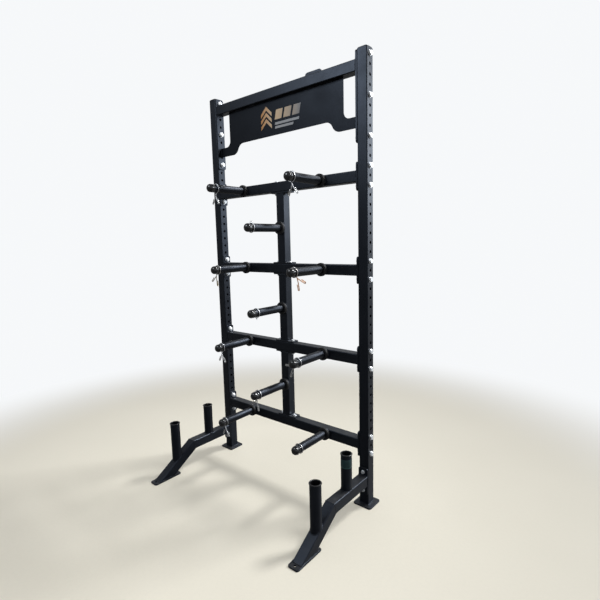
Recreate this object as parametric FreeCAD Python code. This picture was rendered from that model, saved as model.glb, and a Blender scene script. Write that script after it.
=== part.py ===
import FreeCAD, Part
import math
import os

# Plate and barbell storage tower for a gym, in millimetres, +Z up.
# The back of the tower faces +Y. The pegs and the two feet point to -Y, the front.
# The origin is on the floor, in the middle of the whole footprint.

V = FreeCAD.Vector
X1 = V(1, 0, 0)
Y1 = V(0, 1, 0)
Z1 = V(0, 0, 1)
NEG_Y = V(0, -1, 0)
NEG_Z = V(0, 0, -1)
os.makedirs("parts", exist_ok=True)

# ---- Driving dimensions: frame ----
TUBE = 60.0               # outside of every square tube
WALL = 3.0                # its wall
TUBE_R = 5.0              # its outside corner radius
UPRIGHT_X = 590.0         # centre of an upright from the middle
PITCH = 50.0              # hole spacing up the uprights
HOLE_COUNT = 44           # holes in each upright
TOP_HOLE_Z = 2460.0       # highest hole
HOLE_R = 8.5              # clearance hole for M16
UPRIGHT_TOP = 2490.0
CAP_HEAD = 6.0
CAP_PLUG = 18.0
BASE_SIDE = 116.0
BASE_T = 8.0
BASE_R = 14.0

# ---- Driving dimensions: top sign frame ----
TOP_TUBE_Z = 2414.0
SIDE_T = 10.0             # thickness of the plates on the ends of the cross tubes
SIDE_R = 12.0             # their corner radius
TOP_SIDE_BOTTOM = 2030.0
TOP_SIDE_HOLES = 9        # hole levels that the plate shares with the upright
TOP_SIDE_BOLTS = (0, 4, 8)
SIGN_T = 5.0
SLOT_X = 457.0            # inner edge of the tall side slot
SLOT_BOTTOM = 2169.0
SLOT_R = 38.0
TAB_BOTTOM = 2111.0
TAB_X = 432.0             # where the low tab starts to rise
RAISED_X = 335.0          # where it reaches the raised middle
RAISED_Z = 2175.0
REAR_TAB_X = 231.0
REAR_TAB_W = 118.0
REAR_TAB_T = 6.0
REAR_TAB_TOP = 2484.0
REAR_TAB_R = 18.0

# ---- Driving dimensions: crossmembers and middle posts ----
CROSS_HOLES = (12, 22, 32, 42)   # hole level of each crossmember
SIDE_H = 150.0
BOLT_OFF = 50.0
FLANGE_L = 150.0
FLANGE_T = 8.0
FLANGE_HOLE_R = 6.5       # clearance hole for M12

# ---- Driving dimensions: plate pegs ----
PEG_X = 315.0
PEG_R = 24.15
PEG_WALL = 3.2
PEG_TUBE_END = 284.0      # front end of the steel tube, ahead of the centre plane
PEG_TIP = 327.0
PEG_DOME = 15.0
DISC_R = 38.0
DISC_T = 4.0
COLLAR_R = 39.0
COLLAR_T = 14.0
COLLAR_EDGE = 3.5
CAP_R = 24.75             # the end cap stands a little proud of its tube
CAP_PLUG_L = 22.0
CAP_BORE_R = 17.0
CAP_SKIN = 8.0            # end thickness of the cap on its axis
CAP_BORE_TAPER = 4.0
CAP_EDGE = 0.8

# ---- Driving dimensions: wire clips on the pegs ----
WIRE_R = 2.5
CLIP_GAP = 0.05           # running clearance on the cap, the widest part of the peg
CLIP_OPEN = 10.0          # degrees from the bottom of the ring to where each leg begins
CLIP_BEND_R = 7.0         # bend between the ring and a leg
CLIP_LEG = 68.0           # straight run of a leg
STUB_LEG = 9.0            # the same on a clip with short legs
CLIP_SPREAD = 54.0        # angle between the two legs
CLIP_CROSS = 3.1          # how far along the peg each leg has moved where they cross
CLIP_SPLAY = 7.0          # and by its tip
CLIP_LOOP_R = 4.2
CLIP_LOOP_L = 30.0

# ---- Driving dimensions: front legs and bar holders ----
LEG_Z = 155.0             # centre of the level run
LEG_PLATE_Z = 150.0       # centre of the plate behind it
LEG_PLATE_H = 160.0
LEG_PLATE_T = 8.0
LEG_BOLT_OFF = 55.0
KNEE_TOP = 363.0          # knee on the top edge, ahead of the centre plane
SLOPE = 33.0              # degrees below level
FOOT_FRONT = 670.0
FOOT_BACK = 478.0
FOOT_W = 66.0
FOOT_T = 8.0
FOOT_R = 14.0
FOOT_HOLE_R = 7.0
FOOT_HOLE_BACK = 20.0
HOLDER_R = 30.15
HOLDER_BORE_R = 25.5
HOLDER_WALL = 2.9
HOLDER_REAR = 208.0
HOLDER_REAR_TOP = 385.0
HOLDER_FRONT = 482.0
HOLDER_FRONT_TOP = 345.0
LINER_DEPTH = 30.0
LINER_LIP = 4.0
LINER_OVERHANG = 2.85

# ---- Driving dimensions: fasteners and edges ----
M16 = {"d": 16.0, "flats": 24.0, "head": 10.0, "nut": 13.0, "tail": 17.0}
M12 = {"d": 12.0, "flats": 18.0, "head": 7.5, "nut": 10.0, "tail": 14.0}
HEX_CHAMFER = 0.93        # where the shallow cone meets the end face, of the corner radius
HEX_CONE = 1.2            # slope of that cone
PLATE_EDGE = 1.5          # rounding of the top edges of the floor plates
UPRIGHT_CAP_EDGE = 4.0
PLUG_GAP = 0.1            # plastic plug inside its tube, on the width
BIG = 600.0               # half-space boxes

# every shape is drawn with the centre plane of the uprights at Y = 0
PLANE_Y = (FOOT_FRONT - BASE_SIDE / 2.0) / 2.0


def save(node, solids):
    # one STEP per sub-part, moved so that the whole footprint is centred on the origin;
    # several equal pieces stay separate solids
    if not isinstance(solids, list):
        solids = [solids]
    moved = []
    for s in solids:
        c = s.copy()
        c.translate(V(0, PLANE_Y, 0))
        moved.append(c)
    shape = moved[0] if len(moved) == 1 else Part.makeCompound(moved)
    shape.exportStep("parts/" + node + ".step")
    bb = shape.BoundBox
    print(node, len(shape.Solids), shape.isValid(), round(shape.Volume / 1000.0, 1),
          [round(v, 1) for v in (bb.XMin, bb.YMin, bb.ZMin, bb.XMax, bb.YMax, bb.ZMax)])


def round_box(a, b, length, r):
    # block a x b in section, centred on the Z axis, with rounded long edges
    box = Part.makeBox(a, b, length, V(-a / 2.0, -b / 2.0, 0))
    long_edges = []
    for e in box.Edges:
        d = e.Vertexes[0].Point - e.Vertexes[1].Point
        if abs(d.z) > length * 0.99:
            long_edges.append(e)
    return box.makeFillet(r, long_edges)


def square_tube(length):
    # hollow square tube standing on Z = 0
    outer = round_box(TUBE, TUBE, length, TUBE_R)
    inside = TUBE - 2 * WALL
    inner = round_box(inside, inside, length + 2, TUBE_R - WALL)
    inner.translate(V(0, 0, -1))
    return outer.cut(inner)


def tube_along_x(x0, x1, z):
    t = square_tube(x1 - x0)
    t.rotate(V(0, 0, 0), Y1, 90)
    t.translate(V(x0, 0, z))
    return t


def rod(r, length, start, direction):
    return Part.makeCylinder(r, length, start, direction)


def rim_fillet(shape, r, level):
    # round the edges that lie at one height
    picked = []
    for e in shape.Edges:
        bb = e.BoundBox
        if abs(bb.ZMin - level) < 0.01 and abs(bb.ZMax - level) < 0.01:
            picked.append(e)
    return shape.makeFillet(r, picked)


def hex_prism(across_flats, height, start, direction):
    # six-sided prism from start along direction
    r = across_flats / math.sqrt(3.0)
    pts = []
    for i in range(7):
        a = math.radians(60.0 * i)
        pts.append(V(r * math.cos(a), r * math.sin(a), 0))
    prism = Part.Face(Part.makePolygon(pts)).extrude(V(0, 0, height))
    # ease the six corners of the outer end with a shallow cone
    cone = Part.makeCone(r + height * HEX_CONE, r * HEX_CHAMFER, height, V(0, 0, 0), Z1)
    prism = prism.common(cone)
    prism.Placement = FreeCAD.Placement(start, FreeCAD.Rotation(Z1, direction))
    return prism


def hex_bolt(size, grip, seat, direction):
    # seat is the point under the head; direction runs from the head along the shank
    back = V(-direction.x, -direction.y, -direction.z)
    head = hex_prism(size["flats"], size["head"], seat, back)
    shank = rod(size["d"] / 2.0, grip + size["tail"], seat, direction)
    return head.fuse(shank).removeSplitter()


def hex_nut(size, grip, seat, direction):
    # the nut that closes the bolt with the same seat, grip and direction
    start = seat + direction * grip
    body = hex_prism(size["flats"], size["nut"], start, direction)
    return body.cut(rod(size["d"] / 2.0, size["nut"] + 2, start - direction, direction))


def side_plate(x0, z0, z1, hole_levels):
    # upright plate on the end of a cross tube, thickness along X
    p = round_box(TUBE, z1 - z0, SIDE_T, SIDE_R)
    p.rotate(V(0, 0, 0), Z1, 90)
    p.rotate(V(0, 0, 0), Y1, 90)
    p.translate(V(x0, 0, (z0 + z1) / 2.0))
    for z in hole_levels:
        p = p.cut(rod(HOLE_R, SIDE_T + 2, V(x0 - 1, 0, z), X1))
    return p


def hole_z(n):
    return TOP_HOLE_Z - PITCH * n


INNER = UPRIGHT_X - TUBE / 2.0       # inner face of an upright
TUBE_END = INNER - SIDE_T            # end of each cross tube
FRONT = -TUBE / 2.0                  # front face of the uprights and cross tubes
CROSS_Z = [hole_z(n) for n in CROSS_HOLES]

# ---- Uprights, caps and base plates ----
for side, name in ((-1, "upright_left"), (1, "upright_right")):
    x = side * UPRIGHT_X
    up = square_tube(UPRIGHT_TOP - BASE_T)
    up.translate(V(x, 0, BASE_T))
    cutters = []
    for n in range(HOLE_COUNT):
        cutters.append(rod(HOLE_R, TUBE + 20, V(x - TUBE / 2.0 - 10, 0, hole_z(n)), X1))
    for dz in (-LEG_BOLT_OFF, LEG_BOLT_OFF):
        start = V(x, -TUBE / 2.0 - 10, LEG_PLATE_Z + dz)
        cutters.append(rod(FLANGE_HOLE_R, TUBE + 20, start, Y1))
    save(name, up.cut(Part.makeCompound(cutters)))

caps = []
bases = []
for side in (-1, 1):
    x = side * UPRIGHT_X
    head = round_box(TUBE, TUBE, CAP_HEAD, TUBE_R)
    head = rim_fillet(head, UPRIGHT_CAP_EDGE, CAP_HEAD)
    head.translate(V(x, 0, UPRIGHT_TOP))
    inside = TUBE - 2 * WALL - PLUG_GAP
    plug = round_box(inside, inside, CAP_PLUG, TUBE_R - WALL)
    plug.translate(V(x, 0, UPRIGHT_TOP - CAP_PLUG))
    caps.append(head.fuse(plug))
    base = round_box(BASE_SIDE, BASE_SIDE, BASE_T, BASE_R)
    base = rim_fillet(base, PLATE_EDGE, BASE_T)
    base.translate(V(x, 0, 0))
    bases.append(base)
save("upright_caps", caps)
save("base_plates", bases)

# ---- Top tube, its end plates, the sign plate and the rear tab ----
save("top_tube", tube_along_x(-TUBE_END, TUBE_END, TOP_TUBE_Z))
top_bolts = [hole_z(n) for n in TOP_SIDE_BOLTS]
top_levels = [hole_z(n) for n in range(TOP_SIDE_HOLES)]
save("top_side_plate_left", side_plate(-INNER, TOP_SIDE_BOTTOM, UPRIGHT_TOP, top_levels))
save("top_side_plate_right", side_plate(TUBE_END, TOP_SIDE_BOTTOM, UPRIGHT_TOP, top_levels))


def sign_half(s):
    # right half for s = 1, left half for s = -1, as edges from the middle top
    # round to the middle bottom
    def p(x, z):
        return V(s * x, -SIGN_T / 2.0, z)

    def arc(cx, cz, r, a0, a1):
        pts = []
        for a in (a0, (a0 + a1) / 2.0, a1):
            pts.append(p(cx + r * math.cos(a), cz + r * math.sin(a)))
        return Part.Arc(pts[0], pts[1], pts[2]).toShape(), pts

    top = TOP_TUBE_Z - TUBE / 2.0
    w = TAB_X - RAISED_X
    h = RAISED_Z - TAB_BOTTOM
    r = (w * w + h * h) / (4.0 * h)
    turn = math.acos(1.0 - (h / 2.0) / r)
    down = -math.pi / 2.0
    slot, q = arc(SLOT_X + SLOT_R, SLOT_BOTTOM + SLOT_R, SLOT_R, math.pi, 1.5 * math.pi)
    low, u = arc(TAB_X, TAB_BOTTOM + r, r, down, down - turn)
    high, v = arc(RAISED_X, RAISED_Z - r, r, -down - turn, -down)
    return [
        Part.makeLine(p(0, top), p(SLOT_X, top)),
        Part.makeLine(p(SLOT_X, top), q[0]),
        slot,
        Part.makeLine(q[2], p(TUBE_END, SLOT_BOTTOM)),
        Part.makeLine(p(TUBE_END, SLOT_BOTTOM), p(TUBE_END, TAB_BOTTOM)),
        Part.makeLine(p(TUBE_END, TAB_BOTTOM), u[0]),
        low,
        high,
        Part.makeLine(v[2], p(0, RAISED_Z)),
    ]


halves = []
for s in (1, -1):
    edges = sign_half(s)
    edges.append(Part.makeLine(V(0, -SIGN_T / 2.0, RAISED_Z),
                               V(0, -SIGN_T / 2.0, TOP_TUBE_Z - TUBE / 2.0)))
    wire = Part.Wire(Part.__sortEdges__(edges))
    halves.append(Part.Face(wire).extrude(V(0, SIGN_T, 0)))
save("sign_plate", halves[0].fuse(halves[1]).removeSplitter())

tab_h = REAR_TAB_TOP - (TOP_TUBE_Z - TUBE / 2.0)
tab = Part.makeBox(REAR_TAB_W, REAR_TAB_T, tab_h)
corners = []
for e in tab.Edges:
    bb = e.BoundBox
    if bb.YLength > REAR_TAB_T * 0.9 and bb.ZMin > tab_h * 0.9:
        corners.append(e)
tab = tab.makeFillet(REAR_TAB_R, corners)
tab.translate(V(REAR_TAB_X - REAR_TAB_W / 2.0, TUBE / 2.0, TOP_TUBE_Z - TUBE / 2.0))
save("rear_tab", tab)

# ---- Crossmembers and their end plates ----
for i, z in enumerate(CROSS_Z):
    t = tube_along_x(-TUBE_END, TUBE_END, z)
    for x in (-BOLT_OFF, BOLT_OFF):
        t = t.cut(rod(FLANGE_HOLE_R, TUBE + 4, V(x, 0, z - TUBE / 2.0 - 2), Z1))
    save("crossmember_%d" % (i + 1), t)
    plates = []
    for x in (-INNER, TUBE_END):
        plates.append(side_plate(x, z - SIDE_H / 2.0, z + SIDE_H / 2.0,
                                 (z - BOLT_OFF, z + BOLT_OFF)))
    save("crossmember_%d_plates" % (i + 1), plates)

# ---- Middle posts with a flange plate top and bottom ----
for i in range(3):
    top = CROSS_Z[i] - TUBE / 2.0
    bottom = CROSS_Z[i + 1] + TUBE / 2.0
    post = square_tube(top - bottom - 2 * FLANGE_T)
    post.translate(V(0, 0, bottom + FLANGE_T))
    save("post_%d" % (i + 1), post)
    flanges = []
    for z in (bottom, top - FLANGE_T):
        f = round_box(FLANGE_L, TUBE, FLANGE_T, SIDE_R)
        f.translate(V(0, 0, z))
        for x in (-BOLT_OFF, BOLT_OFF):
            f = f.cut(rod(FLANGE_HOLE_R, FLANGE_T + 2, V(x, 0, z - 1), Z1))
        flanges.append(f)
    save("post_%d_flanges" % (i + 1), flanges)

# ---- Pegs: welded disc, steel tube, rubber collar, domed end cap ----
ROWS = []
for z in CROSS_Z:
    ROWS.append([(-PEG_X, z), (PEG_X, z)])
ROWS.append([(0.0, (CROSS_Z[i] + CROSS_Z[i + 1]) / 2.0) for i in range(3)])
TUBE_START = FRONT - DISC_T


def peg_tube(x, z):
    a = V(x, TUBE_START, z)
    length = PEG_TUBE_END + TUBE_START
    return rod(PEG_R, length, a, NEG_Y).cut(rod(PEG_R - PEG_WALL, length, a, NEG_Y))


def peg_collar(x, z):
    a = V(x, TUBE_START, z)
    ring = rod(COLLAR_R, COLLAR_T, a, NEG_Y).cut(rod(PEG_R, COLLAR_T, a, NEG_Y))
    rim = []
    for e in ring.Edges:
        bb = e.BoundBox
        if bb.XLength > 1.9 * COLLAR_R and abs(bb.YMax - (TUBE_START - COLLAR_T)) < 0.01:
            rim.append(e)
    return ring.makeFillet(COLLAR_EDGE, rim)


def peg_cap(x, z):
    # half section about the peg axis, turned once round it
    r = CAP_R
    y0 = -PEG_TUBE_END
    y1 = -PEG_TIP
    plug_r = PEG_R - PEG_WALL
    k = math.sqrt(0.5)
    dome = Part.Arc(V(r, y1 + PEG_DOME, 0),
                    V(r - PEG_DOME * (1 - k), y1 + PEG_DOME * (1 - k), 0),
                    V(r - PEG_DOME, y1, 0)).toShape()
    pts = [V(0, y1, 0), V(0, y1 + CAP_SKIN, 0),
           V(CAP_BORE_R, y1 + CAP_SKIN + CAP_BORE_TAPER, 0),
           V(CAP_BORE_R, y0 + CAP_PLUG_L, 0), V(plug_r, y0 + CAP_PLUG_L, 0),
           V(plug_r, y0, 0), V(r - CAP_EDGE, y0, 0), V(r, y0 - CAP_EDGE, 0),
           V(r, y1 + PEG_DOME, 0)]
    edges = [Part.makeLine(pts[i], pts[i + 1]) for i in range(len(pts) - 1)]
    edges.append(dome)
    edges.append(Part.makeLine(V(r - PEG_DOME, y1, 0), pts[0]))
    face = Part.Face(Part.Wire(edges))
    cap = face.revolve(V(0, 0, 0), Y1, 360)
    cap.translate(V(x, 0, z))
    return cap


ALL_PEGS = []
for n, row in enumerate(ROWS):
    tubes = [peg_tube(x, z) for x, z in row]
    save("peg_tubes_middle" if n == 4 else "peg_tubes_%d" % (n + 1), tubes)
    ALL_PEGS += row
save("peg_discs", [rod(DISC_R, DISC_T, V(x, FRONT, z), NEG_Y) for x, z in ALL_PEGS])
save("peg_collars", [peg_collar(x, z) for x, z in ALL_PEGS])
save("peg_caps", [peg_cap(x, z) for x, z in ALL_PEGS])


# ---- Wire clips: one turn round the peg, two crossing legs with hairpin ends ----
def wire_path(body, points):
    # round wire through the points, with a ball at each one
    for a, b in zip(points, points[1:]):
        d = b - a
        body = body.fuse([rod(WIRE_R, d.Length, a, d), Part.makeSphere(WIRE_R, b)])
    return body


def clip_ring(big):
    # the part of the turn that hugs the peg, open at the bottom
    a0 = math.radians(-90.0 + CLIP_OPEN)
    start = V(big * math.cos(a0), 0, big * math.sin(a0))
    tangent = V(-math.sin(a0), 0, math.cos(a0))
    section = Part.Wire(Part.makeCircle(WIRE_R, start, tangent))
    return Part.Face(section).revolve(V(0, 0, 0), NEG_Y, 360.0 - 2.0 * CLIP_OPEN)


def clip(leg, loop, turn, x, y, z):
    # drawn about the peg axis with both legs hanging down, then turned
    big = CAP_R + CLIP_GAP + WIRE_R
    begin = math.radians(CLIP_OPEN)
    end = math.radians(90.0 - CLIP_SPREAD / 2.0)
    body = clip_ring(big)
    for s in (-1, 1):
        # the bend turns the wire from the ring's own direction to the leg's
        near = V(s * big * math.sin(begin), 0, -big * math.cos(begin))
        body = body.fuse(Part.makeSphere(WIRE_R, near))
        path = [near]
        steps = 4
        for i in range(1, steps + 1):
            a = begin + (end - begin) * i / steps
            path.append(near + V(-s * CLIP_BEND_R * (math.sin(a) - math.sin(begin)),
                                 s * CLIP_CROSS * i / steps,
                                 CLIP_BEND_R * (math.cos(a) - math.cos(begin))))
        knee = path[-1]
        tip = knee + V(-s * leg * math.cos(end), 0, -leg * math.sin(end))
        tip.y = s * CLIP_SPLAY if loop else knee.y
        path.append(tip)
        if loop:
            d = (tip - knee).normalize()
            out = V(d.z * s, 0, -d.x * s)
            out.normalize()
            turns = 8
            for i in range(1, turns + 1):
                t = math.pi * i / turns
                side = out * (CLIP_LOOP_R * (1 - math.cos(t)))
                path.append(tip + side + d * (CLIP_LOOP_R * math.sin(t)))
            path.append(path[-1] - d * CLIP_LOOP_L)
        body = wire_path(body, path)
    body.rotate(V(0, 0, 0), Y1, -turn)
    body.translate(V(x, y, z))
    return body


# peg, turn of the hanging legs in degrees, whether it has full legs, and how far
# ahead of the centre plane its ring sits
CLIPS = (
    ("clip_1_left", 0, -3, True, 264), ("clip_1_right", 1, 6, True, 281),
    ("clip_2_left", 2, -20, True, 281), ("clip_2_right", 3, 37, True, 281),
    ("clip_3_left", 4, 0, True, 279), ("clip_3_right", 5, -50, True, 269),
    ("clip_4_left", 6, 3, True, 281), ("clip_4_right", 7, -12, False, 275),
    ("clip_middle_1", 8, 176, False, 280), ("clip_middle_2", 9, 4, False, 265),
    ("clip_middle_3", 10, -18, True, 275),
)
for name, peg, turn, full, ahead in CLIPS:
    x, z = ALL_PEGS[peg]
    save(name, clip(CLIP_LEG if full else STUB_LEG, full, turn, x, -ahead, z))

# ---- Front legs: end plate, mitred tube, foot plate ----
slope = math.radians(SLOPE)


def leg_tube(x):
    # level run and sloping run, cut on the mitre plane through the knee and at the foot
    top = LEG_Z + TUBE / 2.0
    knee = V(x, -KNEE_TOP, top)
    start = FRONT - LEG_PLATE_T
    level = square_tube(KNEE_TOP + start + TUBE)
    level.rotate(V(0, 0, 0), X1, 90)
    level.translate(V(x, start, LEG_Z))
    run = square_tube(top / math.sin(slope) + 2 * TUBE)
    run.translate(V(0, -TUBE / 2.0, -TUBE))
    run.rotate(V(0, 0, 0), X1, 90 + SLOPE)
    run.translate(knee)
    keep_back = Part.makeBox(BIG, BIG, 2 * BIG, V(-BIG / 2.0, 0, -BIG))
    keep_front = Part.makeBox(BIG, BIG, 2 * BIG, V(-BIG / 2.0, -BIG, -BIG))
    for half in (keep_back, keep_front):
        half.rotate(V(0, 0, 0), X1, SLOPE / 2.0)
        half.translate(knee)
    above = Part.makeBox(BIG, 3 * BIG, BIG, V(x - BIG / 2.0, -2 * BIG, FOOT_T))
    return level.common(keep_back).fuse(run.common(keep_front).common(above)).removeSplitter()


leg_plates = []
feet = []
for side, name in ((-1, "leg_left"), (1, "leg_right")):
    x = side * UPRIGHT_X
    save(name, leg_tube(x))
    p = round_box(TUBE, LEG_PLATE_H, LEG_PLATE_T, SIDE_R)
    p.rotate(V(0, 0, 0), X1, 90)
    p.translate(V(x, FRONT, LEG_PLATE_Z))
    for dz in (-LEG_BOLT_OFF, LEG_BOLT_OFF):
        p = p.cut(rod(FLANGE_HOLE_R, LEG_PLATE_T + 2, V(x, FRONT + 1, LEG_PLATE_Z + dz), NEG_Y))
    leg_plates.append(p)
    f = round_box(FOOT_W, FOOT_FRONT - FOOT_BACK, FOOT_T, FOOT_R)
    f = rim_fillet(f, PLATE_EDGE, FOOT_T)
    f.translate(V(x, -(FOOT_FRONT + FOOT_BACK) / 2.0, 0))
    hole = rod(FOOT_HOLE_R, FOOT_T + 2, V(x, -FOOT_FRONT + FOOT_HOLE_BACK, -1), Z1)
    feet.append(f.cut(hole))
save("leg_plates", leg_plates)
save("foot_plates", feet)


# ---- Bar holders: open tubes standing on the legs, with a lipped liner ----
def slope_z(y):
    # height of the leg's top side at a point ahead of the knee
    return LEG_Z + TUBE / 2.0 - (-y - KNEE_TOP) * math.tan(slope)


def holder(x, y, top):
    outer = rod(HOLDER_R, top - FOOT_T, V(x, y, FOOT_T), Z1)
    inner = rod(HOLDER_R - HOLDER_WALL, top, V(x, y, FOOT_T - 1), Z1)
    pipe = outer.cut(inner)
    level = LEG_Z + TUBE / 2.0
    if -y < KNEE_TOP:
        return pipe.common(Part.makeBox(BIG, BIG, BIG, V(x - BIG / 2.0, y - BIG / 2.0, level)))
    keep = Part.makeBox(BIG, 2 * BIG, BIG, V(-BIG / 2.0, -BIG, 0))
    keep.rotate(V(0, 0, 0), X1, SLOPE)
    keep.translate(V(x, y, slope_z(y)))
    return pipe.common(keep)


def liner(x, y, top):
    r_in = HOLDER_R - HOLDER_WALL
    lip = rod(HOLDER_R + LINER_OVERHANG, LINER_LIP, V(x, y, top), Z1)
    sleeve = rod(r_in, LINER_DEPTH, V(x, y, top - LINER_DEPTH), Z1)
    bore = rod(HOLDER_BORE_R, LINER_DEPTH + LINER_LIP + 2, V(x, y, top - LINER_DEPTH - 1), Z1)
    return lip.fuse(sleeve).cut(bore).removeSplitter()


liners = []
for side, sname in ((-1, "left"), (1, "right")):
    x = side * UPRIGHT_X
    for y, top, pos in ((-HOLDER_REAR, HOLDER_REAR_TOP, "rear"),
                        (-HOLDER_FRONT, HOLDER_FRONT_TOP, "front")):
        save("holder_%s_%s" % (sname, pos), holder(x, y, top))
        liners.append(liner(x, y, top))
save("holder_liners", liners)

# ---- Fasteners ----
def fasten(where, size, seat, grip, direction):
    # one bolt and its nut, added to the two lists in where
    where[0].append(hex_bolt(size, grip, seat, direction))
    where[1].append(hex_nut(size, grip, seat, direction))


side_set = ([], [])
levels = list(top_bolts)
for z in CROSS_Z:
    levels += [z - BOLT_OFF, z + BOLT_OFF]
for side in (-1, 1):
    for z in levels:
        seat = V(side * (UPRIGHT_X + TUBE / 2.0), 0, z)
        fasten(side_set, M16, seat, TUBE + SIDE_T, V(-side, 0, 0))

leg_set = ([], [])
for side in (-1, 1):
    for dz in (-LEG_BOLT_OFF, LEG_BOLT_OFF):
        seat = V(side * UPRIGHT_X, FRONT - LEG_PLATE_T, LEG_PLATE_Z + dz)
        fasten(leg_set, M12, seat, TUBE + LEG_PLATE_T, Y1)

post_set = ([], [])
for i, z in enumerate(CROSS_Z):
    above = FLANGE_T if i > 0 else 0.0
    below = FLANGE_T if i < len(CROSS_Z) - 1 else 0.0
    for x in (-BOLT_OFF, BOLT_OFF):
        fasten(post_set, M12, V(x, 0, z + TUBE / 2.0 + above), TUBE + above + below, NEG_Z)

for label, pair in (("m16", side_set), ("m12_legs", leg_set), ("m12_posts", post_set)):
    save("bolts_" + label, pair[0])
    save("nuts_" + label, pair[1])
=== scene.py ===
import math
import random

import bmesh
import bpy
from mathutils import Matrix, Vector


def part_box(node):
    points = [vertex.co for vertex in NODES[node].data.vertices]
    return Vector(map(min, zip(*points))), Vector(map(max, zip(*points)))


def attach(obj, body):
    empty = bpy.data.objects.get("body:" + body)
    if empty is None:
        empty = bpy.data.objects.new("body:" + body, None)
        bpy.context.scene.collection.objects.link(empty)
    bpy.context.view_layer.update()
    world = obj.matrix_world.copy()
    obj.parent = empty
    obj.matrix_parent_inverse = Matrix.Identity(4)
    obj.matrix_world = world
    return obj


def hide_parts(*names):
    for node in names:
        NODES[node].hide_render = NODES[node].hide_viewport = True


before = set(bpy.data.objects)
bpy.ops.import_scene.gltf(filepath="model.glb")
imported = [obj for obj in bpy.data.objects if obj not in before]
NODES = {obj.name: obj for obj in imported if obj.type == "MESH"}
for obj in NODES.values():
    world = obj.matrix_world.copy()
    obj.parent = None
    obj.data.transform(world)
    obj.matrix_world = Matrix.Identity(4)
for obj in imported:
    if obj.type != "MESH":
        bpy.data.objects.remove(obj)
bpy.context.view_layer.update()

# Looks of a plate and barbell storage tower, in metres: +Z up, -Y the front.
random.seed(41)
SIDES = (-1, 1)                               # left and right


def mid(node):
    """The middle of a CAD node's box."""
    lo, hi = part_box(node)
    return (lo + hi) / 2


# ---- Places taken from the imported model, in metres ----
HALF = 0.030                                  # half a square tube
PLANE = mid("upright_left").y                 # centre plane of the uprights
FRONT = PLANE - HALF
UP_X = mid("upright_right").x
CROSS_Z = [mid("crossmember_%d" % n).z for n in (1, 2, 3, 4)]
TUBE_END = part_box("crossmember_1")[1].x
PEG_R = 0.02415
CAP_R = 0.02475
DISC_R = 0.038
PEG_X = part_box("peg_tubes_1")[1].x - PEG_R
PEGS = [(s * PEG_X, z) for z in CROSS_Z for s in SIDES]
PEGS += [(0.0, (CROSS_Z[n] + CROSS_Z[n + 1]) / 2) for n in range(3)]
PEG_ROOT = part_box("peg_tubes_1")[1].y         # where a peg meets its disc
PEG_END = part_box("peg_tubes_1")[0].y          # front end of the steel tube
PEG_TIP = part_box("peg_caps")[0].y
LEG_PLATE_Z = mid("leg_plates").z
LEG_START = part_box("leg_plates")[0].y
LEG_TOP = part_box("leg_right")[1].z
LEG_Z = LEG_TOP - HALF                        # centre of the level run
KNEE_AHEAD = 0.363                            # from the centre plane to the knee
KNEE = Vector((0, PLANE - KNEE_AHEAD, LEG_TOP))
SLOPE = math.radians(33.0)                    # of the leg's front run, down from level
FOOT_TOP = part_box("foot_plates")[1].z
HOLDER_R = 0.03015
HOLDER_WALL = 0.0029
CORNER = 0.005                                # outer corner radius of a square tube


# ---- Mesh code ----
class Shape:
    """Vertices and faces gathered from several pieces that share a material."""

    def __init__(self):
        self.verts = []
        self.faces = []

    def add(self, part, place=None):
        """Adds (vertices, faces), moved by the matrix place."""
        verts, faces = part
        base = len(self.verts)
        for v in verts:
            self.verts.append(place @ Vector(v) if place else Vector(v))
        for f in faces:
            self.faces.append([base + i for i in f])


def make(name, shape, mat, body="tower", sharp=38.0, origin=None, stands_for=()):
    """One piece from a shape: consistent normals, smooth except at sharp edges."""
    at = origin or Vector((0, 0, 0))
    mesh = bpy.data.meshes.new(name)
    mesh.from_pydata([v - at for v in shape.verts], [], shape.faces)
    bm = bmesh.new()
    bm.from_mesh(mesh)
    bmesh.ops.remove_doubles(bm, verts=bm.verts, dist=1e-6)
    bmesh.ops.recalc_face_normals(bm, faces=bm.faces)
    bm.to_mesh(mesh)
    bm.free()
    mesh.polygons.foreach_set("use_smooth", [True] * len(mesh.polygons))
    mesh.set_sharp_from_angle(angle=math.radians(sharp))
    mesh.materials.append(mat)
    ob = bpy.data.objects.new(name, mesh)
    ob.location = at
    bpy.context.scene.collection.objects.link(ob)
    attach(ob, body)
    if stands_for:
        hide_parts(*stands_for)
    return ob


def lathe(profile, n=48):
    """(radius, height) pairs turned round +Z. A radius of 0 closes the shape."""
    verts, faces, rings = [], [], []
    for r, z in profile:
        if r < 1e-9:
            rings.append([len(verts)])
            verts.append((0, 0, z))
        else:
            rings.append(list(range(len(verts), len(verts) + n)))
            for k in range(n):
                a = 2 * math.pi * k / n
                verts.append((r * math.cos(a), r * math.sin(a), z))
    for a, b in zip(rings, rings[1:]):
        for k in range(n):
            j = (k + 1) % n
            quad = [a[k % len(a)], a[j % len(a)], b[j % len(b)], b[k % len(b)]]
            face = list(dict.fromkeys(quad))
            if len(face) > 2:
                faces.append(face)
    return verts, faces


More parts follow.
